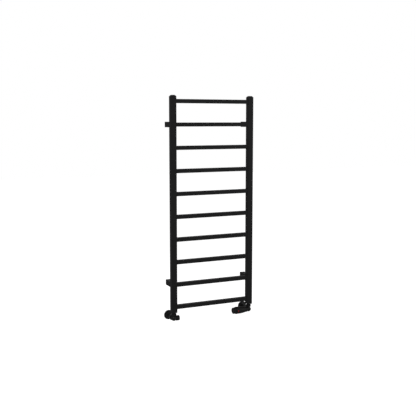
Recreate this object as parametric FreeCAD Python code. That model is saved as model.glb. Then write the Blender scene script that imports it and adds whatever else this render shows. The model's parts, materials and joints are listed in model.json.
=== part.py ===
import FreeCAD, Part
import os

# Wall-hung ladder towel radiator, in millimetres.
# Origin: the middle of the four wall screw holes, on the wall plane.
# +X right as seen from the room, +Y into the wall, +Z up.

Vector = FreeCAD.Vector

# Overall frame
FRAME_WIDTH = 500.0
COLUMN_SIDE = 32.0
COLUMN_WALL = 1.5
COLUMN_CORNER = 2.5
COLUMN_TOP = 1189.0  # top of the square tube above its bottom end
COLUMN_FOOT = 3.0  # the bottom socket's lip below the tube
CAP_HEIGHT = 9.0
CAP_BAND = 1.5
CAP_FLAT = 18.0
CAP_EDGE = 0.8
WALL_DISTANCE = 82.0  # wall to the middle of the columns

# Bars
BAR_COUNT = 10
BAR_PITCH = 126.0
BAR_HEIGHT = 22.0
BAR_DEPTH = 26.0
BAR_WALL = 1.25
BAR_EDGE = 1.5
TOP_BAR = 1165.5  # middle of the highest bar above the column's bottom end

# Wall brackets, level with the second and the ninth bar
UPPER_BRACKET_BAR = 2
LOWER_BRACKET_BAR = 9
SLEEVE_SIDE = 30.0
SLEEVE_BORE = 24.6
SLEEVE_EDGE = 1.5
SLEEVE_FLOOR = 6.0
SLEEVE_GAP = 8.0  # sleeve end to wall
POST_SIDE = 24.0
POST_LENGTH = 44.0
PLATE_THICKNESS = 4.0
WALL_HOLE = 3.25
SCREWDRIVER_BORE = 7.0
SCREW_LEDGE = 8.0
GRUB_RADIUS = 2.5
GRUB_FROM_WALL = 14.0
GRUB_GAP = 0.3
BOLT_RADIUS = 3.0
BOLT_LENGTH = 17.0
BOLT_HEAD_RADIUS = 5.0
BOLT_HEAD = 4.0
NUT_RADIUS = 4.5
NUT_LENGTH = 13.0
NUT_FLANGE_RADIUS = 6.5
NUT_FLANGE = 1.0

# Valves: all three axes of each valve meet at one point under its column
VALVE_DROP = 32.0
BODY_RADIUS = 15.0
BOSS_RADIUS = 13.0
BOSS_END = 13.0
CAP_THREAD_RADIUS = 11.9
CAP_THREAD_END = 19.0
OUTLET_RADIUS = 10.4
OUTLET_END = 20.5
WATERWAY = 6.0
INLET_RADIUS = 11.5
INLET_END = 26.0
PIPE_RADIUS = 7.5
PIPE_WALL = 1.0
PIPE_COAT = 0.35  # black sheath on the stretch in the room
PIPE_STOP = 10.0
PIPE_TAIL = 25.0  # pipe beyond the wall plane
SEAT_PLACE = -3.0
SEAT_END = -11.0
SEAT_PORT = 4.5
PORT_RADIUS = 3.2
PORT_PLACE = -7.0

# Union between a valve and its column
UNION_START = 15.9
UNION_END = 26.3
UNION_RADIUS = 14.5
UNION_FLATS = 27.5
FLANGE_START = 21.7
FLANGE_END = 23.7
FLANGE_RADIUS = 10.2
TAIL_NECK = 8.6
TAIL_HEX_START = 27.3
TAIL_HEX_FLATS = 22.0
TAIL_THREAD = 10.4
TAIL_THREAD_LENGTH = 12.0
SOCKET_LENGTH = 15.0

# Compression joint on the supply pipe
OLIVE_LENGTH = 5.0
OLIVE_RADIUS = 9.2
COMPRESSION_START = 19.0
COMPRESSION_END = 38.0
COMPRESSION_FLATS = 30.0
COVER_RADIUS = 27.0
COVER_HOLE = 8.0
COVER_RIM = 2.0
COVER_HEIGHT = 7.0
COVER_CROWN = 11.5

# Lockshield: distances along its spindle, from the valve's centre
LOCK_CHAMBER = 7.0
GLAND_START = 11.0
GLAND_HEAD_END = 22.0
GLAND_FLATS = 14.0
SPINDLE_RADIUS = 2.98
SPINDLE_BORE = 3.04
SPINDLE_TIP = 3.0
SPINDLE_COLLAR_START = 8.6
SPINDLE_COLLAR_END = 10.7
SPINDLE_COLLAR = 4.2
SPINDLE_SQUARE = 4.2
SPINDLE_END = 27.0
DRIVE_RADIUS = 2.0
DRIVE_BORE = 2.06
PLUG_START = 0.8
PLUG_END = 8.0
PLUG_BORE_START = 2.0
PLUG_RADIUS = 6.0
SHIELD_START = 13.3
SHIELD_END = 31.0
SHIELD_RADIUS = 14.8
SHIELD_BORE = 12.0
SHIELD_ROOF = 2.0
SHIELD_EDGE = 1.2

# Thermostatic valve: distances along its spindle, from the valve's centre
TRV_CHAMBER = 8.0
INSERT_START = 9.5
INSERT_COLLAR_END = 22.0
INSERT_COLLAR = 11.5
SPRING_SHOULDER = 14.0
SPRING_CAVITY = 5.2
PIN_RADIUS = 1.96
PIN_BORE = 2.02
PIN_START = 3.4
PIN_END = 27.0
PIN_COLLAR_START = 20.5
PIN_COLLAR_END = 22.0
PIN_COLLAR = 4.8
DISC_START = 0.4
DISC_RADIUS = 6.2
SPRING_WIRE = 0.35
SPRING_RADIUS = 3.6
SPRING_TURNS = 4
RING_START = 13.3
RING_END = 24.0
RING_RADIUS = 15.6
RING_RIBS = 18

# Thermostatic head, same distances
BASE_END = 78.0
BASE_NOSE = 16.8
BASE_NOSE_END = 25.2
BASE_SHOULDER = 52.0
BASE_RADIUS = 20.7
BASE_NECK_BORE = 8.0
BASE_BORE_START = 46.0
BASE_BORE = 12.2
BASE_TUBE = 15.0
BASE_TUBE_END = 92.0
SENSOR_RADIUS = 12.14
SENSOR_START = 52.0
SENSOR_END = 88.0
SENSOR_STEM = 2.5
SENSOR_STEM_START = 27.4
SENSOR_BORE = 5.0
SENSOR_BORE_START = 77.0
KNOB_START = 78.5
KNOB_RING_END = 86.0
KNOB_RING = 21.4
KNOB_GRIP = 18.0
KNOB_END = 102.5
KNOB_BORE = 15.06
KNOB_BORE_END = 92.6
KNOB_ROOF = 3.0
KNOB_SPIGOT = 4.94
KNOB_SPIGOT_START = 81.0
KNOB_RIBS = 24
KNOB_RIB = 0.9
MARKER_START = 71.4
MARKER_END = 77.0
MARKER_WIDTH = 8.0
MARKER_PROUD = 0.8

# Air vent at the back of the left column
VENT_HEIGHT = 1166.0
VENT_THREAD = 6.5
VENT_THREAD_LENGTH = 9.0
VENT_SEAL = 1.2
VENT_SEAL_RADIUS = 8.0
VENT_FLATS = 17.0
VENT_FLANGE_END = 5.0
VENT_STEM = 5.5
VENT_STEM_END = 14.0
VENT_DUCT = 1.2
VENT_BORE = 3.0
VENT_BORE_START = 6.0
NEEDLE_RADIUS = 2.94
NEEDLE_START = 6.2
NEEDLE_SHAFT_END = 16.0
NEEDLE_SQUARE = 4.1
NEEDLE_END = 20.0
COLLAR_START = 5.6
COLLAR_END = 12.5
COLLAR_RADIUS = 8.4
COLLAR_BORE = 5.58
SPOUT_RADIUS = 1.8
SPOUT_LENGTH = 11.0

# Worked out from the above
COLUMN_X = (FRAME_WIDTH - COLUMN_SIDE) / 2
BRACKET_UPPER = TOP_BAR - (UPPER_BRACKET_BAR - 1) * BAR_PITCH
BRACKET_LOWER = TOP_BAR - (LOWER_BRACKET_BAR - 1) * BAR_PITCH
BOTTOM = -(BRACKET_UPPER + BRACKET_LOWER) / 2  # Z of the columns' bottom ends
COLUMN_Y = -WALL_DISTANCE
COLUMN_BACK = COLUMN_Y + COLUMN_SIDE / 2
SIDES = {"left": -1, "right": 1}
X_AXIS = Vector(1, 0, 0)
Y_AXIS = Vector(0, 1, 0)
Z_AXIS = Vector(0, 0, 1)


def along(shape, base, direction):
    """Turns a shape built up the Z axis to point along direction from base."""
    shape.Placement = FreeCAD.Placement(base, FreeCAD.Rotation(Z_AXIS, direction))
    return shape


def rod(radius, base, direction, start, end):
    """A cylinder on the axis through base, between two distances from it."""
    return Part.makeCylinder(radius, end - start, base + direction * start, direction)


def ring(outer, inner, base, direction, start, end):
    """A plain ring: a rod with a bore right through."""
    return rod(outer, base, direction, start, end).cut(rod(inner, base, direction, start, end))


def hexagon(flats, base, direction, start, end):
    """A hexagonal prism, by the distance across its flats."""
    wire = Part.makePolygon(
        [Vector(flats / 3**0.5, 0, 0)]
        + [FreeCAD.Rotation(Z_AXIS, 60 * i).multVec(Vector(flats / 3**0.5, 0, 0)) for i in range(1, 7)]
    )
    return along(Part.Face(wire).extrude(Vector(0, 0, end - start)), base + direction * start, direction)


def placed_box(width, depth, length, base, direction):
    """A box centred on the axis through base, with its length along direction."""
    prism = Part.makeBox(width, depth, length, Vector(-width / 2, -depth / 2, 0))
    prism.transformShape(FreeCAD.Placement(base, FreeCAD.Rotation(Z_AXIS, direction)).toMatrix())
    return prism


def turned(profile, base, direction):
    """A turned solid from (distance along the axis, radius) corners."""
    points = [Vector(radius, 0, place) for place, radius in profile]
    face = Part.Face(Part.makePolygon(points + points[:1]))
    return along(face.revolve(Vector(0, 0, 0), Z_AXIS, 360), base, direction)


def soft_box(low, size, radius, direction):
    """A box whose four long edges, along direction, are rounded."""
    box = Part.makeBox(size.x, size.y, size.z, low)
    edges = [edge for edge in box.Edges if abs(edge.tangentAt(edge.FirstParameter).dot(direction)) > 0.9]
    return box.makeFillet(radius, edges)


def bar_level(number):
    """Z of the middle of a bar; bar 1 is the highest."""
    return BOTTOM + TOP_BAR - (number - 1) * BAR_PITCH


def column(side):
    """Square tube, with a water port for each bar and holes for its rivet nuts and vent."""
    x = SIDES[side] * COLUMN_X
    half = COLUMN_SIDE / 2
    length = COLUMN_TOP - COLUMN_FOOT
    low = Vector(x - half, COLUMN_Y - half, BOTTOM + COLUMN_FOOT)
    tube = soft_box(low, Vector(COLUMN_SIDE, COLUMN_SIDE, length), COLUMN_CORNER, Z_AXIS)
    bore_side = COLUMN_SIDE - 2 * COLUMN_WALL
    bore_low = low + Vector(COLUMN_WALL, COLUMN_WALL, 0)
    tube = tube.cut(Part.makeBox(bore_side, bore_side, length, bore_low))
    port_depth = BAR_DEPTH - 2 * BAR_WALL
    port_height = BAR_HEIGHT - 2 * BAR_WALL
    for number in range(1, BAR_COUNT + 1):
        base = Vector(x, COLUMN_Y, bar_level(number))
        tube = tube.cut(placed_box(port_height, port_depth, half, base, X_AXIS * -SIDES[side]))
    for level in (BRACKET_UPPER, BRACKET_LOWER):
        base = Vector(x, COLUMN_BACK, BOTTOM + level)
        tube = tube.cut(rod(NUT_RADIUS, base, Y_AXIS, -half, 0))
    if side == "left":
        base = Vector(x, COLUMN_BACK, BOTTOM + VENT_HEIGHT)
        tube = tube.cut(rod(VENT_THREAD, base, Y_AXIS, -half, 0))
    return tube


def bar(number):
    """Rectangular tube between the columns."""
    length = FRAME_WIDTH - 2 * COLUMN_SIDE
    low = Vector(-length / 2, COLUMN_Y - BAR_DEPTH / 2, bar_level(number) - BAR_HEIGHT / 2)
    tube = soft_box(low, Vector(length, BAR_DEPTH, BAR_HEIGHT), BAR_EDGE, X_AXIS)
    wall = Vector(0, BAR_WALL, BAR_WALL)
    bore = Part.makeBox(length, BAR_DEPTH - 2 * BAR_WALL, BAR_HEIGHT - 2 * BAR_WALL, low + wall)
    return tube.cut(bore)


def square_wire(side, centre):
    """A square outline in a level plane."""
    turns = [(-1, -1), (1, -1), (1, 1), (-1, 1), (-1, -1)]
    return Part.makePolygon([centre + Vector(x, y, 0) * (side / 2) for x, y in turns])


def column_outline(foot, height):
    """A solid length of the columns' rounded outline."""
    low = foot - Vector(COLUMN_SIDE / 2, COLUMN_SIDE / 2, 0)
    return soft_box(low, Vector(COLUMN_SIDE, COLUMN_SIDE, height), COLUMN_CORNER, Z_AXIS)


def top_cap(side):
    """Low cap with four sloping sides, on a plug that fits inside the tube."""
    foot = Vector(SIDES[side] * COLUMN_X, COLUMN_Y, BOTTOM + COLUMN_TOP)
    slope_start = foot + Z_AXIS * CAP_BAND
    slope = Part.makeLoft(
        [square_wire(COLUMN_SIDE, slope_start), square_wire(CAP_FLAT, foot + Z_AXIS * CAP_HEIGHT)], True
    )
    cap = slope.fuse(placed_box(COLUMN_SIDE, COLUMN_SIDE, CAP_BAND, foot, Z_AXIS)).removeSplitter()
    edges = [edge for edge in cap.Edges if edge.BoundBox.ZMax > slope_start.z + 0.01]
    cap = cap.makeFillet(CAP_EDGE, edges).common(column_outline(foot, CAP_HEIGHT))
    bore_side = COLUMN_SIDE - 2 * COLUMN_WALL
    return cap.fuse(placed_box(bore_side, bore_side, CAP_BAND * 2, foot - Z_AXIS * CAP_BAND * 2, Z_AXIS))


def bottom_socket(side):
    """Threaded plug in a column's bottom end, with a chamfered lip that closes the tube."""
    foot = Vector(SIDES[side] * COLUMN_X, COLUMN_Y, BOTTOM)
    bore_side = COLUMN_SIDE - 2 * COLUMN_WALL
    tube_end = foot + Z_AXIS * COLUMN_FOOT
    foot_side = COLUMN_SIDE - COLUMN_FOOT * 1.4
    lip = Part.makeLoft([square_wire(foot_side, foot), square_wire(COLUMN_SIDE, tube_end)], True)
    lip = lip.common(column_outline(foot, COLUMN_FOOT))
    plug = lip.fuse(placed_box(bore_side, bore_side, SOCKET_LENGTH - COLUMN_FOOT, tube_end, Z_AXIS))
    return plug.cut(rod(TAIL_THREAD, foot, Z_AXIS, -1, SOCKET_LENGTH + 1))


def bracket_places():
    """Name and wall point of each of the four brackets."""
    levels = {"upper": BRACKET_UPPER, "lower": BRACKET_LOWER}
    return {
        f"{level}_{side}": Vector(SIDES[side] * COLUMN_X, 0, BOTTOM + levels[level])
        for level in levels
        for side in SIDES
    }


def bracket_sleeve(place):
    """Square arm bolted to the column's back, open towards the wall."""
    length = -SLEEVE_GAP - COLUMN_BACK
    low = Vector(place.x - SLEEVE_SIDE / 2, COLUMN_BACK, place.z - SLEEVE_SIDE / 2)
    sleeve = soft_box(low, Vector(SLEEVE_SIDE, length, SLEEVE_SIDE), SLEEVE_EDGE, Y_AXIS)
    front = Vector(place.x, COLUMN_BACK, place.z)
    sleeve = sleeve.cut(placed_box(SLEEVE_BORE, SLEEVE_BORE, length, front + Y_AXIS * SLEEVE_FLOOR, Y_AXIS))
    sleeve = sleeve.cut(rod(BOLT_RADIUS, front, Y_AXIS, 0, SLEEVE_FLOOR))
    sleeve = sleeve.cut(rod(NUT_FLANGE_RADIUS, front, Y_AXIS, 0, NUT_FLANGE))
    return sleeve.cut(rod(GRUB_RADIUS, place - Y_AXIS * GRUB_FROM_WALL, -Z_AXIS, 0, SLEEVE_SIDE))


def wall_post(place):
    """Wall plate with a square post, bored for its wall screw and for the screwdriver."""
    post = soft_box(
        Vector(place.x - POST_SIDE / 2, -POST_LENGTH, place.z - POST_SIDE / 2),
        Vector(POST_SIDE, POST_LENGTH, POST_SIDE),
        SLEEVE_EDGE,
        Y_AXIS,
    )
    plate = soft_box(
        Vector(place.x - SLEEVE_SIDE / 2, -PLATE_THICKNESS, place.z - SLEEVE_SIDE / 2),
        Vector(SLEEVE_SIDE, PLATE_THICKNESS, SLEEVE_SIDE),
        SLEEVE_EDGE,
        Y_AXIS,
    )
    post = post.fuse(plate).removeSplitter()
    post = post.cut(rod(WALL_HOLE, place, -Y_AXIS, 0, POST_LENGTH))
    return post.cut(rod(SCREWDRIVER_BORE, place, -Y_AXIS, SCREW_LEDGE, POST_LENGTH))


def grub_screw(place):
    """Headless screw in a sleeve's underside that locks it on its post."""
    base = place - Y_AXIS * GRUB_FROM_WALL
    screw = rod(GRUB_RADIUS, base, -Z_AXIS, POST_SIDE / 2 + GRUB_GAP, SLEEVE_SIDE / 2)
    return screw.cut(hexagon(2.5, base, -Z_AXIS, SLEEVE_SIDE / 2 - 1.5, SLEEVE_SIDE / 2))


def bracket_bolt(place):
    """Socket head bolt from inside a sleeve into the column's rivet nut."""
    base = Vector(place.x, COLUMN_BACK + SLEEVE_FLOOR, place.z)
    bolt = rod(BOLT_RADIUS, base, -Y_AXIS, 0, BOLT_LENGTH)
    bolt = bolt.fuse(rod(BOLT_HEAD_RADIUS, base, Y_AXIS, 0, BOLT_HEAD))
    return bolt.cut(hexagon(5.0, base, Y_AXIS, 1.5, BOLT_HEAD))


def rivet_nut(place):
    """Threaded insert in the column's back wall."""
    base = Vector(place.x, COLUMN_BACK, place.z)
    nut = rod(NUT_RADIUS, base, -Y_AXIS, 0, NUT_LENGTH)
    nut = nut.fuse(rod(NUT_FLANGE_RADIUS, base, Y_AXIS, 0, NUT_FLANGE))
    return nut.cut(rod(BOLT_RADIUS, base, Y_AXIS, -NUT_LENGTH, NUT_FLANGE))


def valve_centre(side):
    """The point where a valve's three axes meet."""
    return Vector(SIDES[side] * COLUMN_X, COLUMN_Y, BOTTOM - VALVE_DROP)


def spindle_direction(side):
    """Both spindles point towards the middle of the radiator."""
    return X_AXIS * -SIDES[side]


def valve_body(side, chamber, boss):
    """Corner valve casting: outlet up, inlet to the wall, spindle boss sideways."""
    centre = valve_centre(side)
    out = spindle_direction(side)
    casting = Part.makeSphere(BODY_RADIUS, centre)
    casting = casting.fuse(boss)
    casting = casting.fuse(rod(OUTLET_RADIUS, centre, Z_AXIS, 0, OUTLET_END))
    casting = casting.fuse(rod(INLET_RADIUS, centre, Y_AXIS, 0, INLET_END))
    casting = casting.cut(rod(chamber, centre, out, SEAT_PLACE, BOSS_END + CAP_THREAD_END))
    casting = casting.cut(rod(SEAT_PORT, centre, out, SEAT_END, SEAT_PLACE))
    casting = casting.cut(rod(WATERWAY, centre, Z_AXIS, 0, OUTLET_END))
    casting = casting.cut(rod(PIPE_RADIUS, centre, Y_AXIS, PIPE_STOP, INLET_END))
    return casting.cut(rod(PORT_RADIUS, centre + out * PORT_PLACE, Y_AXIS, 0, PIPE_STOP + 1))


def union_nut(side):
    """Round nut with six flats that pulls the tailpiece onto the valve."""
    centre = valve_centre(side)
    nut = rod(UNION_RADIUS, centre, Z_AXIS, UNION_START, UNION_END)
    nut = nut.common(hexagon(UNION_FLATS, centre, Z_AXIS, UNION_START, UNION_END))
    nut = nut.cut(rod(OUTLET_RADIUS, centre, Z_AXIS, UNION_START, FLANGE_END))
    return nut.cut(rod(TAIL_NECK, centre, Z_AXIS, FLANGE_END, UNION_END))


def tailpiece(side):
    """Flanged tube screwed into the column's socket."""
    centre = valve_centre(side)
    thread_end = VALVE_DROP + TAIL_THREAD_LENGTH
    piece = rod(FLANGE_RADIUS, centre, Z_AXIS, FLANGE_START, FLANGE_END)
    piece = piece.fuse(rod(TAIL_NECK, centre, Z_AXIS, FLANGE_END, TAIL_HEX_START))
    piece = piece.fuse(hexagon(TAIL_HEX_FLATS, centre, Z_AXIS, TAIL_HEX_START, VALVE_DROP))
    piece = piece.fuse(rod(TAIL_THREAD, centre, Z_AXIS, VALVE_DROP, thread_end))
    return piece.cut(rod(WATERWAY, centre, Z_AXIS, FLANGE_START, thread_end))


def union_gasket(side):
    """Flat gasket between valve and tailpiece."""
    return ring(FLANGE_RADIUS, WATERWAY, valve_centre(side), Z_AXIS, OUTLET_END, FLANGE_START)


def olive(side):
    """Compression ring on the supply pipe."""
    profile = [
        (INLET_END, PIPE_RADIUS),
        (INLET_END + OLIVE_LENGTH, PIPE_RADIUS),
        (INLET_END + OLIVE_LENGTH / 2, OLIVE_RADIUS),
        (INLET_END, PIPE_RADIUS + 0.4),
    ]
    return turned(profile, valve_centre(side), Y_AXIS)


def compression_nut(side):
    """Hexagonal nut that squeezes the olive onto the pipe."""
    centre = valve_centre(side)
    nut = hexagon(COMPRESSION_FLATS, centre, Y_AXIS, COMPRESSION_START, COMPRESSION_END)
    crown = turned(
        [
            (COMPRESSION_START, 0),
            (COMPRESSION_END, 0),
            (COMPRESSION_END, COMPRESSION_FLATS / 2 - 0.5),
            (COMPRESSION_END - 2, COMPRESSION_FLATS / 3**0.5),
            (COMPRESSION_START + 1, COMPRESSION_FLATS / 3**0.5),
            (COMPRESSION_START, COMPRESSION_FLATS / 2),
        ],
        centre,
        Y_AXIS,
    )
    nut = nut.common(crown)
    nut = nut.cut(rod(INLET_RADIUS, centre, Y_AXIS, COMPRESSION_START, INLET_END))
    nut = nut.cut(rod(OLIVE_RADIUS, centre, Y_AXIS, INLET_END, INLET_END + OLIVE_LENGTH))
    return nut.cut(rod(PIPE_RADIUS, centre, Y_AXIS, INLET_END, COMPRESSION_END))


def supply_pipe(side):
    """Straight pipe from the valve through the cover plate into the wall, sheathed in the room only."""
    centre = valve_centre(side)
    pipe = rod(PIPE_RADIUS, centre, Y_AXIS, PIPE_STOP, WALL_DISTANCE + PIPE_TAIL)
    pipe = pipe.fuse(rod(PIPE_RADIUS + PIPE_COAT, centre, Y_AXIS, COMPRESSION_END, WALL_DISTANCE))
    return pipe.cut(rod(PIPE_RADIUS - PIPE_WALL, centre, Y_AXIS, PIPE_STOP, WALL_DISTANCE + PIPE_TAIL))


def cover_plate(side):
    """Domed round plate on the wall round the pipe."""
    profile = [
        (0, COVER_HOLE),
        (0, COVER_RADIUS),
        (COVER_RIM, COVER_RADIUS),
        (COVER_RIM + 1, COVER_RADIUS - 1.5),
        (COVER_HEIGHT - 0.7, COVER_CROWN),
        (COVER_HEIGHT, COVER_CROWN - 1),
        (COVER_HEIGHT, COVER_HOLE),
    ]
    centre = valve_centre(side)
    return turned(profile, Vector(centre.x, 0, centre.z), -Y_AXIS)


def lockshield_parts():
    """The left valve: a balancing valve whose spindle is hidden under a cap."""
    centre = valve_centre("left")
    out = spindle_direction("left")
    boss = rod(BOSS_RADIUS, centre, out, 0, BOSS_END)
    boss = boss.fuse(rod(CAP_THREAD_RADIUS, centre, out, 0, CAP_THREAD_END))
    body = valve_body("left", LOCK_CHAMBER, boss)
    gland = rod(LOCK_CHAMBER, centre, out, GLAND_START, CAP_THREAD_END)
    gland = gland.fuse(hexagon(GLAND_FLATS, centre, out, CAP_THREAD_END, GLAND_HEAD_END))
    gland = gland.cut(rod(SPINDLE_BORE, centre, out, GLAND_START, GLAND_HEAD_END))
    groove = ring(SPINDLE_BORE + 1.2, SPINDLE_BORE, centre, out, CAP_THREAD_END - 3, CAP_THREAD_END - 1.4)
    gland = gland.cut(groove)
    seal = groove.copy()
    spindle = rod(DRIVE_RADIUS, centre, out, SPINDLE_TIP, SPINDLE_COLLAR_START)
    spindle = spindle.fuse(rod(SPINDLE_COLLAR, centre, out, SPINDLE_COLLAR_START, SPINDLE_COLLAR_END))
    spindle = spindle.fuse(rod(SPINDLE_RADIUS, centre, out, SPINDLE_COLLAR_END, GLAND_HEAD_END))
    spindle = spindle.fuse(
        placed_box(
            SPINDLE_SQUARE, SPINDLE_SQUARE, SPINDLE_END - GLAND_HEAD_END, centre + out * GLAND_HEAD_END, out
        )
    )
    plug = rod(PLUG_RADIUS, centre, out, PLUG_START, PLUG_END)
    plug = plug.cut(rod(DRIVE_BORE, centre, out, PLUG_BORE_START, PLUG_END))
    shield = turned(
        [
            (SHIELD_START, SHIELD_BORE),
            (SHIELD_START, SHIELD_RADIUS - 0.4),
            (SHIELD_START + 0.4, SHIELD_RADIUS),
            (SHIELD_END - SHIELD_EDGE, SHIELD_RADIUS),
            (SHIELD_END, SHIELD_RADIUS - SHIELD_EDGE),
            (SHIELD_END, 0),
            (SHIELD_END - SHIELD_ROOF, 0),
            (SHIELD_END - SHIELD_ROOF, SHIELD_BORE),
        ],
        centre,
        out,
    )
    return {
        "lockshield_body": body,
        "lockshield_gland": gland,
        "lockshield_seal": seal,
        "lockshield_spindle": spindle,
        "lockshield_plug": plug,
        "lockshield_cap": shield,
    }


def return_spring(centre, out):
    """Small compression spring round the valve pin."""
    length = PIN_COLLAR_START - SPRING_SHOULDER
    rise = length - 2 * SPRING_WIRE
    helix = Part.makeHelix(rise / SPRING_TURNS, rise, SPRING_RADIUS)
    circle = Part.Wire(Part.makeCircle(SPRING_WIRE - 0.05, Vector(SPRING_RADIUS, 0, 0), Y_AXIS))
    coil = Part.Wire(helix).makePipeShell([circle], True, True)
    return along(coil, centre + out * (SPRING_SHOULDER + SPRING_WIRE), out)


def thermostatic_valve_parts():
    """The right valve: body, insert, spring-loaded pin and disc."""
    centre = valve_centre("right")
    out = spindle_direction("right")
    boss = rod(BOSS_RADIUS, centre, out, 0, BOSS_END)
    body = valve_body("right", TRV_CHAMBER, boss)
    insert = rod(TRV_CHAMBER, centre, out, INSERT_START, BOSS_END)
    insert = insert.fuse(rod(INSERT_COLLAR, centre, out, BOSS_END, INSERT_COLLAR_END))
    insert = insert.cut(rod(PIN_BORE, centre, out, INSERT_START, INSERT_COLLAR_END))
    insert = insert.cut(rod(SPRING_CAVITY, centre, out, SPRING_SHOULDER, INSERT_COLLAR_END))
    seal = ring(PIN_BORE + 1.5, PIN_BORE, centre, out, INSERT_START + 1, INSERT_START + 2.6)
    insert = insert.cut(seal)
    pin = rod(PIN_RADIUS, centre, out, PIN_START, PIN_END)
    pin = pin.fuse(rod(PIN_COLLAR, centre, out, PIN_COLLAR_START, PIN_COLLAR_END))
    disc = rod(DISC_RADIUS, centre, out, DISC_START, PIN_START)
    coupling = rod(RING_RADIUS, centre, out, RING_START, RING_END)
    for rib in range(RING_RIBS):
        turn = FreeCAD.Rotation(out, rib * 360 / RING_RIBS)
        groove_base = centre + turn.multVec(Z_AXIS * (RING_RADIUS + 0.5))
        coupling = coupling.cut(rod(1.0, groove_base, out, RING_START, RING_END - 2))
    coupling = coupling.cut(rod(INSERT_COLLAR, centre, out, RING_START, INSERT_COLLAR_END))
    coupling = coupling.cut(rod(BASE_NECK_BORE, centre, out, INSERT_COLLAR_END, RING_END))
    return {
        "thermostatic_body": body,
        "thermostatic_insert": insert,
        "thermostatic_seal": seal,
        "thermostatic_pin": pin,
        "thermostatic_disc": disc,
        "thermostatic_spring": return_spring(centre, out),
        "head_coupling_ring": coupling,
    }


def thermostatic_head_parts():
    """Head base, sensor capsule, ribbed knob and setting marker."""
    centre = valve_centre("right")
    out = spindle_direction("right")
    base = turned(
        [
            (RING_END, BASE_NECK_BORE),
            (RING_END, BASE_NOSE - 1.2),
            (BASE_NOSE_END, BASE_NOSE),
            (BASE_SHOULDER, BASE_RADIUS),
            (BASE_END - 0.8, BASE_RADIUS),
            (BASE_END, BASE_RADIUS - 0.8),
            (BASE_END, BASE_TUBE),
            (BASE_TUBE_END, BASE_TUBE),
            (BASE_TUBE_END, BASE_BORE),
            (BASE_BORE_START, BASE_BORE),
            (BASE_BORE_START, BASE_NECK_BORE),
        ],
        centre,
        out,
    )
    sensor = rod(SENSOR_RADIUS, centre, out, SENSOR_START, SENSOR_END)
    sensor = sensor.fuse(rod(SENSOR_STEM, centre, out, SENSOR_STEM_START, SENSOR_START))
    sensor = sensor.cut(rod(SENSOR_BORE, centre, out, SENSOR_BORE_START, SENSOR_END))
    knob = turned(
        [
            (KNOB_START, KNOB_BORE),
            (KNOB_START, KNOB_RING - 0.8),
            (KNOB_START + 0.8, KNOB_RING),
            (KNOB_RING_END - 1.5, KNOB_RING),
            (KNOB_RING_END, KNOB_GRIP),
            (KNOB_END - 1.5, KNOB_GRIP),
            (KNOB_END, KNOB_GRIP - 1.5),
            (KNOB_END, 0),
            (KNOB_SPIGOT_START, 0),
            (KNOB_SPIGOT_START, KNOB_SPIGOT),
            (KNOB_END - KNOB_ROOF, KNOB_SPIGOT),
            (KNOB_END - KNOB_ROOF, SENSOR_RADIUS),
            (KNOB_BORE_END, SENSOR_RADIUS),
            (KNOB_BORE_END, KNOB_BORE),
        ],
        centre,
        out,
    )
    for rib in range(KNOB_RIBS):
        turn = FreeCAD.Rotation(out, rib * 360 / KNOB_RIBS)
        groove_base = centre + turn.multVec(Z_AXIS * (KNOB_GRIP + KNOB_RIB * 0.4))
        knob = knob.cut(rod(KNOB_RIB, groove_base, out, KNOB_RING_END + 0.5, KNOB_END + 1))
    middle = centre + out * (MARKER_START + MARKER_END) / 2
    length = MARKER_END - MARKER_START
    block = placed_box(length, MARKER_WIDTH, BASE_RADIUS + MARKER_PROUD, middle, -Y_AXIS)
    skin = ring(BASE_RADIUS + MARKER_PROUD, BASE_RADIUS, centre, out, MARKER_START, MARKER_END)
    marker = skin.common(block)
    return {"head_base": base, "head_sensor": sensor, "head_knob": knob, "head_marker": marker}


def vent_parts():
    """Manual air vent: plug, needle, turning spout collar and seal."""
    base = Vector(-COLUMN_X, COLUMN_BACK, BOTTOM + VENT_HEIGHT)
    plug = rod(VENT_THREAD, base, Y_AXIS, -VENT_THREAD_LENGTH, VENT_SEAL)
    plug = plug.fuse(hexagon(VENT_FLATS, base, Y_AXIS, VENT_SEAL, VENT_FLANGE_END))
    plug = plug.fuse(rod(VENT_STEM, base, Y_AXIS, VENT_FLANGE_END, VENT_STEM_END))
    plug = plug.cut(rod(VENT_DUCT, base, Y_AXIS, -VENT_THREAD_LENGTH, VENT_BORE_START))
    plug = plug.cut(rod(VENT_BORE, base, Y_AXIS, VENT_BORE_START, VENT_STEM_END))
    spout_base = base + Y_AXIS * (COLLAR_START + COLLAR_END) / 2
    plug = plug.cut(rod(VENT_DUCT, spout_base, -Z_AXIS, 0, VENT_STEM + 1))
    seal = ring(VENT_SEAL_RADIUS, VENT_THREAD, base, Y_AXIS, 0, VENT_SEAL)
    needle = turned(
        [
            (NEEDLE_START, 0),
            (NEEDLE_START + 2, NEEDLE_RADIUS),
            (NEEDLE_SHAFT_END, NEEDLE_RADIUS),
            (NEEDLE_SHAFT_END, 0),
        ],
        base,
        Y_AXIS,
    )
    head_base = base + Y_AXIS * NEEDLE_SHAFT_END
    head_length = NEEDLE_END - NEEDLE_SHAFT_END
    needle = needle.fuse(placed_box(NEEDLE_SQUARE, NEEDLE_SQUARE, head_length, head_base, Y_AXIS))
    collar = rod(COLLAR_RADIUS, base, Y_AXIS, COLLAR_START, COLLAR_END)
    collar = collar.fuse(rod(SPOUT_RADIUS, spout_base, -Z_AXIS, 0, SPOUT_LENGTH))
    collar = collar.cut(rod(SPOUT_RADIUS - 0.8, spout_base, -Z_AXIS, 0, SPOUT_LENGTH))
    collar = collar.cut(rod(COLLAR_BORE, base, Y_AXIS, COLLAR_START, COLLAR_END))
    return {"vent_plug": plug, "vent_seal": seal, "vent_needle": needle, "vent_collar": collar}


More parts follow.
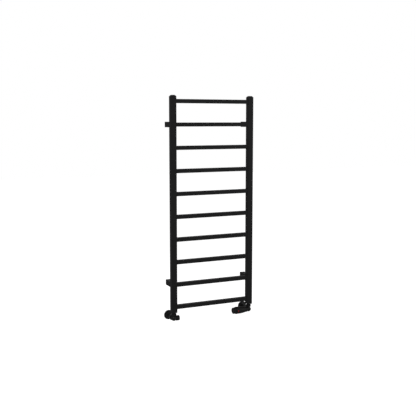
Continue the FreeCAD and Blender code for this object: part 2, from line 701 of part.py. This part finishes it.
def all_parts():
    """Every node's shape by its name."""
    parts = {}
    for side in SIDES:
        parts[f"{side}_column"] = column(side)
        parts[f"top_cap_{side}"] = top_cap(side)
        parts[f"bottom_socket_{side}"] = bottom_socket(side)
        parts[f"union_nut_{side}"] = union_nut(side)
        parts[f"tailpiece_{side}"] = tailpiece(side)
        parts[f"compression_nut_{side}"] = compression_nut(side)
        parts[f"supply_pipe_{side}"] = supply_pipe(side)
        parts[f"cover_plate_{side}"] = cover_plate(side)
    for number in range(1, BAR_COUNT + 1):
        parts[f"bar_{number:02d}"] = bar(number)
    places = bracket_places()
    for name, place in places.items():
        parts[f"bracket_sleeve_{name}"] = bracket_sleeve(place)
        parts[f"wall_post_{name}"] = wall_post(place)
    parts["grub_screws"] = Part.makeCompound([grub_screw(place) for place in places.values()])
    parts["bracket_bolts"] = Part.makeCompound([bracket_bolt(place) for place in places.values()])
    parts["rivet_nuts"] = Part.makeCompound([rivet_nut(place) for place in places.values()])
    parts["union_gaskets"] = Part.makeCompound([union_gasket(side) for side in SIDES])
    parts["olives"] = Part.makeCompound([olive(side) for side in SIDES])
    parts.update(lockshield_parts())
    parts.update(thermostatic_valve_parts())
    parts.update(thermostatic_head_parts())
    parts.update(vent_parts())
    return parts


os.makedirs("parts", exist_ok=True)
for node, shape in all_parts().items():
    shape.exportStep(f"parts/{node}.step")
    print(node, len(shape.Solids), shape.isValid(), round(shape.Volume))
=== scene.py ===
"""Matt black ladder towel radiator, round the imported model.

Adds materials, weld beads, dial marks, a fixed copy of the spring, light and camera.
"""

import json
import math

import bmesh
import bpy
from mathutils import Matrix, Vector


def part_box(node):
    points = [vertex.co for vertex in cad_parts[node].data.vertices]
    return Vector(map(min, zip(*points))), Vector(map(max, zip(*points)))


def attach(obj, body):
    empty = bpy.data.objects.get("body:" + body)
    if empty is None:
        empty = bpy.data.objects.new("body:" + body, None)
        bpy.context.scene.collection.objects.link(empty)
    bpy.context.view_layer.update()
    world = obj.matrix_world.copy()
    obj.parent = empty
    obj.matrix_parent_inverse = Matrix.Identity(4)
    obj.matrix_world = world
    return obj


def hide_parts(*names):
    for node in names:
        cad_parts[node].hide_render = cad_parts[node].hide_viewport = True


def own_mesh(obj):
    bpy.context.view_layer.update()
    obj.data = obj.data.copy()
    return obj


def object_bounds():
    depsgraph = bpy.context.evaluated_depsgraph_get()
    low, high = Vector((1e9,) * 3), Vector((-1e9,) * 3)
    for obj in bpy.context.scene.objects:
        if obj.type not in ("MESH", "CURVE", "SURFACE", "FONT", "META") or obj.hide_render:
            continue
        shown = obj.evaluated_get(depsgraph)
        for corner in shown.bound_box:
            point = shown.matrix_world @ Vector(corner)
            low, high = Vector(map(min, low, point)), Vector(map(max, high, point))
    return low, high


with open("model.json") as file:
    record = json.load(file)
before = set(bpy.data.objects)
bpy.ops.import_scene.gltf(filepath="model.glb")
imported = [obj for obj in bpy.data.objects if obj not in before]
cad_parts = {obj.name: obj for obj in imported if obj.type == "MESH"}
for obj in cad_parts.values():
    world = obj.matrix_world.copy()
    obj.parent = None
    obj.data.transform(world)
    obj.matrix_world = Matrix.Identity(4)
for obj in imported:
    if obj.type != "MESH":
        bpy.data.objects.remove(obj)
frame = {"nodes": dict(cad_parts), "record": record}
cad_low, cad_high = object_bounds()
nodes = frame["nodes"]

MM = 0.001

# The columns give the object's own axes
left_low, left_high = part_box("left_column")
right_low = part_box("right_column")[0]
COLUMN_Y = (left_low.y + left_high.y) / 2
FOOT_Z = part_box("bottom_socket_left")[0].z
FOOT = Vector((0.0, COLUMN_Y, FOOT_Z))

# Camera: where it stands from the foot between the columns, and where it looks
CAMERA_FROM_FOOT = Vector((-1.6433, -3.5330, 1.0643))
CAMERA_YAW = 0.4295
CAMERA_PITCH = 0.111
LENS = 60.62
SENSOR = 36.0
SHIFT_Y = -0.024
CAMERA_REACH = 50.0

# Light
BACKDROP_WHITE = 1.0
ROOM_LIGHT = 0.17
FLOOR_DROP = 0.35
FLOOR_REACH = 14.0
FLOOR_GLOW = 0.92

# Each light: its name, its place from the object's middle, its width and height, and its power
LIGHTS = (
    ("key", (-2.2, -2.6, 2.2), 2.4, 2.4, 23.0),
    ("fill", (2.6, -2.4, 0.6), 2.0, 2.4, 9.0),
    ("back", (0.6, 3.0, 1.6), 2.4, 2.0, 9.0),
)

# The part of a noise texture's range that a finish uses
NOISE_LOW = 0.3
NOISE_HIGH = 0.7


# ---------------------------------------------------------------- materials


class Finish:
    """One node-based material, built up from a Principled shader."""

    def __init__(self, name, roughness, metallic=0.0):
        self.material = bpy.data.materials.new(name)
        self.material.use_nodes = True
        self.tree = self.material.node_tree
        self.shader = self.tree.nodes["Principled BSDF"]
        self.shader.inputs["Roughness"].default_value = roughness
        self.shader.inputs["Metallic"].default_value = metallic
        self.place = self.tree.nodes.new("ShaderNodeTexCoord").outputs["Object"]

    def noise(self, scale, detail=2.0, stretch=(1.0, 1.0, 1.0), roughness=0.5):
        """A noise value over the surface; scale counts features per metre."""
        mapping = self.tree.nodes.new("ShaderNodeMapping")
        mapping.inputs["Scale"].default_value = stretch
        self.tree.links.new(self.place, mapping.inputs["Vector"])
        texture = self.tree.nodes.new("ShaderNodeTexNoise")
        texture.inputs["Scale"].default_value = scale
        texture.inputs["Detail"].default_value = detail
        texture.inputs["Roughness"].default_value = roughness
        self.tree.links.new(mapping.outputs["Vector"], texture.inputs["Vector"])
        return texture.outputs["Fac"]

    def colours(self, value, dark, light):
        """Colour that runs from dark to light with value."""
        ramp = self.tree.nodes.new("ShaderNodeValToRGB")
        ramp.color_ramp.elements[0].position = NOISE_LOW
        ramp.color_ramp.elements[0].color = (*dark, 1.0)
        ramp.color_ramp.elements[1].position = NOISE_HIGH
        ramp.color_ramp.elements[1].color = (*light, 1.0)
        self.tree.links.new(value, ramp.inputs["Fac"])
        self.tree.links.new(ramp.outputs["Color"], self.shader.inputs["Base Color"])
        return self

    def gloss(self, value, low, high):
        """Roughness that runs from low to high with value."""
        span = self.tree.nodes.new("ShaderNodeMapRange")
        span.inputs["From Min"].default_value = NOISE_LOW
        span.inputs["From Max"].default_value = NOISE_HIGH
        span.inputs["To Min"].default_value = low
        span.inputs["To Max"].default_value = high
        self.tree.links.new(value, span.inputs["Value"])
        self.tree.links.new(span.outputs["Result"], self.shader.inputs["Roughness"])
        return self

    def bump(self, *heights):
        """Bumps one on another, each a (value, depth in metres, strength)."""
        normal = None
        for value, depth, strength in heights:
            bump = self.tree.nodes.new("ShaderNodeBump")
            bump.inputs["Distance"].default_value = depth
            bump.inputs["Strength"].default_value = strength
            self.tree.links.new(value, bump.inputs["Height"])
            if normal is not None:
                self.tree.links.new(normal, bump.inputs["Normal"])
            normal = bump.outputs["Normal"]
        self.tree.links.new(normal, self.shader.inputs["Normal"])
        return self


def powder_coat():
    """Fine matt powder coat: a sandy grain over a shallow orange peel."""
    finish = Finish("black_powder_coat", 0.55)
    peel = finish.noise(420.0, 2.0)
    grain = finish.noise(2600.0, 3.0, roughness=0.65)
    finish.colours(finish.noise(35.0, 4.0), (0.0105, 0.0105, 0.0112), (0.0150, 0.0150, 0.0158))
    finish.gloss(grain, 0.50, 0.66)
    return finish.bump((peel, 0.00008, 0.3), (grain, 0.00003, 0.45)).material


def satin_black_metal():
    """Smooth satin coat on the valves, pipes and cover plates."""
    finish = Finish("black_satin_metal", 0.40)
    cast = finish.noise(180.0, 3.0)
    fine = finish.noise(3200.0, 2.0)
    finish.colours(finish.noise(60.0, 3.0), (0.0100, 0.0100, 0.0106), (0.0150, 0.0150, 0.0156))
    finish.gloss(fine, 0.34, 0.48)
    return finish.bump((cast, 0.00008, 0.35), (fine, 0.00002, 0.35)).material


def black_moulding():
    """Eroded texture of a black plastic moulding."""
    finish = Finish("black_moulded_plastic", 0.48)
    grain = finish.noise(3800.0, 2.0, roughness=0.7)
    finish.colours(finish.noise(90.0, 2.0), (0.0115, 0.0115, 0.0120), (0.0150, 0.0150, 0.0156))
    finish.gloss(grain, 0.42, 0.56)
    return finish.bump((grain, 0.00003, 0.6)).material


def red_moulding():
    """Bright red of the setting marker."""
    finish = Finish("red_moulded_plastic", 0.35)
    grain = finish.noise(3000.0, 2.0)
    finish.colours(finish.noise(200.0, 2.0), (0.50, 0.022, 0.028), (0.60, 0.035, 0.040))
    finish.gloss(grain, 0.30, 0.42)
    return finish.bump((grain, 0.00002, 0.4)).material


def grey_print():
    """Dark grey of the dial marks."""
    finish = Finish("grey_dial_print", 0.5)
    grain = finish.noise(2500.0, 2.0)
    finish.colours(grain, (0.045, 0.045, 0.046), (0.070, 0.070, 0.072))
    return finish.bump((grain, 0.00002, 0.4)).material


def zinc_steel():
    """Zinc plated steel with fine turning lines."""
    finish = Finish("zinc_plated_steel", 0.35, metallic=1.0)
    lines = finish.noise(1500.0, 3.0, stretch=(1.0, 0.15, 1.0))
    finish.colours(finish.noise(250.0, 3.0), (0.42, 0.43, 0.46), (0.60, 0.61, 0.62))
    finish.gloss(lines, 0.26, 0.44)
    return finish.bump((lines, 0.00003, 0.4)).material


def machined_brass():
    """Machined brass with faint tarnish."""
    finish = Finish("machined_brass", 0.3, metallic=1.0)
    lines = finish.noise(1800.0, 3.0, stretch=(0.2, 1.0, 1.0))
    finish.colours(finish.noise(160.0, 4.0), (0.52, 0.36, 0.14), (0.76, 0.58, 0.28))
    finish.gloss(lines, 0.22, 0.40)
    return finish.bump((lines, 0.00003, 0.4)).material


def black_rubber():
    """Dull seal rubber."""
    finish = Finish("black_seal_rubber", 0.75)
    grain = finish.noise(1800.0, 3.0)
    finish.colours(grain, (0.016, 0.016, 0.016), (0.026, 0.026, 0.026))
    finish.gloss(grain, 0.68, 0.84)
    return finish.bump((grain, 0.00004, 0.5)).material


def white_moulding():
    """Off-white plastic of the vent collar and the sensor capsule."""
    finish = Finish("white_moulded_plastic", 0.42)
    grain = finish.noise(2600.0, 2.0)
    finish.colours(finish.noise(120.0, 2.0), (0.72, 0.71, 0.67), (0.80, 0.79, 0.76))
    finish.gloss(grain, 0.36, 0.50)
    return finish.bump((grain, 0.00002, 0.4)).material


FINISHES = {
    "black_coat": powder_coat(),
    "black_metal": satin_black_metal(),
    "black_plastic": black_moulding(),
    "red_plastic": red_moulding(),
    "zinc_steel": zinc_steel(),
    "plain_brass": machined_brass(),
    "black_rubber": black_rubber(),
    "white_plastic": white_moulding(),
}
DIAL_PRINT = grey_print()


def dress_cad_nodes():
    """Gives every CAD node its slot's finish."""
    for part in frame["record"]["subparts"]:
        node = nodes[part["node"]]
        for place in node.material_slots:
            place.link = "OBJECT"
            place.material = FINISHES[part["material_slot"]]


# ---------------------------------------------------------------- added pieces


def piece(name, mesh, body, finish):
    """Makes a mesh into a piece that rides on a body."""
    thing = bpy.data.objects.new(name, mesh)
    bpy.context.scene.collection.objects.link(thing)
    mesh.materials.append(finish)
    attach(thing, body)
    return thing


def smooth(mesh, angle=40.0):
    """Smooth shading with sharp edges past an angle."""
    for face in mesh.polygons:
        face.use_smooth = True
    mesh.set_sharp_from_angle(angle=math.radians(angle))


WELD_SIZE = 1.5 * MM
WELD_SINK = 0.25 * MM
WELD_RIPPLE = 0.12 * MM
WELD_STEP = 0.35 * MM
WELD_RIPPLE_LENGTH = 1.7 * MM
WELD_HOLLOW = 0.86
WELD_FACETS = 6
WELD_SMOOTH = 60.0
BAR_EDGE = 1.5 * MM
CORNER_FACETS = 6


def rounded_outline(width, height, radius, step):
    """Points and outward normals round a rectangle with rounded corners, at even steps."""
    runs = []
    corners = [(1, 1, 0.0), (-1, 1, 0.5), (-1, -1, 1.0), (1, -1, 1.5)]
    for sign_x, sign_y, start in corners:
        centre = Vector((sign_x * (width / 2 - radius), sign_y * (height / 2 - radius)))
        for turn in range(CORNER_FACETS + 1):
            angle = math.pi * (start + turn / (2 * CORNER_FACETS))
            normal = Vector((math.cos(angle), math.sin(angle)))
            runs.append((centre + normal * radius, normal))
    outline = []
    for (here, normal), (after, after_normal) in zip(runs, runs[1:] + runs[:1]):
        count = max(1, round((after - here).length / step))
        for index in range(count):
            share = index / count
            outline.append((here.lerp(after, share), normal.lerp(after_normal, share).normalized()))
    return outline


def weld_bead(name, bar, face_x, outward):
    """A rippled fillet weld round one bar end, against the column's side face."""
    low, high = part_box(bar)
    centre = (low + high) / 2
    outline = rounded_outline(high.y - low.y, high.z - low.z, BAR_EDGE, WELD_STEP)
    mesh = bmesh.new()
    loops = []
    travelled = 0.0
    before = outline[-1][0]
    for spot, normal in outline:
        travelled += (spot - before).length
        before = spot
        size = WELD_SIZE + WELD_RIPPLE * math.sin(2 * math.pi * travelled / WELD_RIPPLE_LENGTH)
        section = [(-WELD_SINK, -WELD_SINK), (size, -WELD_SINK)]
        for turn in range(1, WELD_FACETS):
            angle = math.pi / 2 * turn / WELD_FACETS
            reach = size * WELD_HOLLOW
            section.append((reach * math.cos(angle), reach * math.sin(angle)))
        section.append((-WELD_SINK, size))
        loops.append(
            [
                mesh.verts.new(
                    (
                        face_x + outward * along,
                        centre.y + spot.x + normal.x * out,
                        centre.z + spot.y + normal.y * out,
                    )
                )
                for along, out in section
            ]
        )
    for loop, following in zip(loops, loops[1:] + loops[:1]):
        for index in range(len(loop)):
            beyond = (index + 1) % len(loop)
            mesh.faces.new((loop[index], loop[beyond], following[beyond], following[index]))
    bmesh.ops.recalc_face_normals(mesh, faces=mesh.faces)
    data = bpy.data.meshes.new(name)
    mesh.to_mesh(data)
    mesh.free()
    smooth(data, WELD_SMOOTH)
    piece(name, data, "radiator", FINISHES["black_coat"])


def weld_beads():
    """A bead at both ends of every bar."""
    for bar in sorted(node for node in nodes if node.startswith("bar_")):
        number = bar[-2:]
        weld_bead(f"weld_left_{number}", bar, left_high.x, 1)
        weld_bead(f"weld_right_{number}", bar, right_low.x, -1)


DIAL_MARKS = 6
DIAL_SWEEP = 270.0
DIAL_SINK = 0.3 * MM
DIAL_PROUD = 0.25 * MM
DIAL_START = -135.0
DIAL_LENGTH = 1.6 * MM
DIAL_LONGER = 0.5 * MM
DIAL_INSET = 1.4 * MM
DIAL_HALF_ANGLE = 0.028
DIAL_CHAMFER = 0.15 * MM
DIAL_SHOULDER = DIAL_PROUD * 0.7


def ring_patch(mesh, centre, radius, start_x, end_x, middle, half_angle, rows=6):
    """A raised patch on a round surface about the X axis."""
    grid = []
    for row in range(rows + 1):
        angle = middle + half_angle * (2 * row / rows - 1)
        line = []
        for x, depth in (
            (start_x, -DIAL_SINK),
            (start_x, DIAL_SHOULDER),
            (start_x + DIAL_CHAMFER, DIAL_PROUD),
            (end_x - DIAL_CHAMFER, DIAL_PROUD),
            (end_x, DIAL_SHOULDER),
            (end_x, -DIAL_SINK),
        ):
            reach = radius + depth
            line.append(
                mesh.verts.new((x, centre.y - reach * math.cos(angle), centre.z + reach * math.sin(angle)))
            )
        grid.append(line)
    for line, following in zip(grid, grid[1:]):
        for index in range(len(line)):
            beyond = (index + 1) % len(line)
            mesh.faces.new((line[index], line[beyond], following[beyond], following[index]))
    mesh.faces.new(grid[0])
    mesh.faces.new(list(reversed(grid[-1])))


def dial_marks():
    """Raised setting marks round the knob's ring, longer at each higher setting."""
    low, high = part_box("head_knob")
    centre = (low + high) / 2
    radius = (high.z - low.z) / 2
    mark_end = high.x - DIAL_INSET
    mesh = bmesh.new()
    for mark in range(DIAL_MARKS):
        middle = math.radians(DIAL_START + DIAL_SWEEP * mark / (DIAL_MARKS - 1))
        length = DIAL_LENGTH + DIAL_LONGER * mark
        ring_patch(mesh, centre, radius, mark_end - length, mark_end, middle, DIAL_HALF_ANGLE)
    bmesh.ops.recalc_face_normals(mesh, faces=mesh.faces)
    data = bpy.data.meshes.new("dial_marks")
    mesh.to_mesh(data)
    mesh.free()
    smooth(data)
    piece("dial_marks", data, "head_knob", DIAL_PRINT)


def return_spring():
    """The thermostatic valve's spring as a fixed copy riding on the radiator; the real one shortens
    towards its shoulder as the pin moves in.
    """
    mesh = nodes["thermostatic_spring"].data.copy()
    mesh.transform(nodes["thermostatic_spring"].matrix_world)
    mesh.materials.clear()
    spring = piece("return_spring", mesh, "radiator", FINISHES["zinc_steel"])
    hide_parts("thermostatic_spring")
    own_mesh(spring)


# ---------------------------------------------------------------- studio


def camera():
    """Stands left of the radiator, near the height of its top, and looks slightly down."""
    data = bpy.data.cameras.new("camera")
    data.lens = LENS
    data.sensor_width = SENSOR
    data.shift_y = SHIFT_Y
    data.clip_end = CAMERA_REACH
    thing = bpy.data.objects.new("camera", data)
    thing.location = FOOT + CAMERA_FROM_FOOT
    thing.rotation_euler = (math.pi / 2 - CAMERA_PITCH, 0.0, -CAMERA_YAW)
    bpy.context.scene.collection.objects.link(thing)
    bpy.context.scene.camera = thing


def floor():
    """Plain pale floor well below the wall-hung radiator."""
    mesh = bpy.data.meshes.new("floor")
    level = cad_low.z - FLOOR_DROP
    corners = [(x * FLOOR_REACH, y * FLOOR_REACH, level) for x, y in ((-1, -1), (1, -1), (1, 1), (-1, 1))]
    mesh.from_pydata(corners, [], [(0, 1, 2, 3)])
    thing = bpy.data.objects.new("floor", mesh)
    bpy.context.scene.collection.objects.link(thing)
    material = bpy.data.materials.new("pale_floor")
    material.use_nodes = True
    shader = material.node_tree.nodes["Principled BSDF"]
    shader.inputs["Base Color"].default_value = (0.9, 0.9, 0.9, 1.0)
    shader.inputs["Roughness"].default_value = 0.9
    shader.inputs["Emission Color"].default_value = (1.0, 1.0, 1.0, 1.0)
    shader.inputs["Emission Strength"].default_value = FLOOR_GLOW
    mesh.materials.append(material)
    thing.visible_diffuse = False
    thing.visible_glossy = False


def soft_light(name, place, target, width, height, power):
    """A large area light aimed at a point."""
    data = bpy.data.lights.new(name, "AREA")
    data.shape = "RECTANGLE"
    data.size = width
    data.size_y = height
    data.energy = power
    thing = bpy.data.objects.new(name, data)
    thing.location = place
    thing.rotation_euler = (target - place).to_track_quat("-Z", "Y").to_euler()
    bpy.context.scene.collection.objects.link(thing)


def studio():
    """White backdrop and a dimmer even room light, with three large soft lights."""
    scene = bpy.context.scene
    world = bpy.data.worlds.new("studio")
    scene.world = world
    world.use_nodes = True
    tree = world.node_tree
    tree.nodes.clear()
    output = tree.nodes.new("ShaderNodeOutputWorld")
    mix = tree.nodes.new("ShaderNodeMixShader")
    path = tree.nodes.new("ShaderNodeLightPath")
    shades = {}
    for name, strength in (("room", ROOM_LIGHT), ("backdrop", BACKDROP_WHITE)):
        shades[name] = tree.nodes.new("ShaderNodeBackground")
        shades[name].inputs["Color"].default_value = (1.0, 1.0, 1.0, 1.0)
        shades[name].inputs["Strength"].default_value = strength
    tree.links.new(path.outputs["Is Camera Ray"], mix.inputs["Fac"])
    tree.links.new(shades["room"].outputs["Background"], mix.inputs[1])
    tree.links.new(shades["backdrop"].outputs["Background"], mix.inputs[2])
    tree.links.new(mix.outputs["Shader"], output.inputs["Surface"])
    scene.view_settings.view_transform = "Standard"
    scene.view_settings.look = "None"
    target = (cad_low + cad_high) / 2
    for name, place, width, height, power in LIGHTS:
        soft_light(name, target + Vector(place), target, width, height, power)


camera()
studio()
floor()
dress_cad_nodes()
weld_beads()
dial_marks()
return_spring()
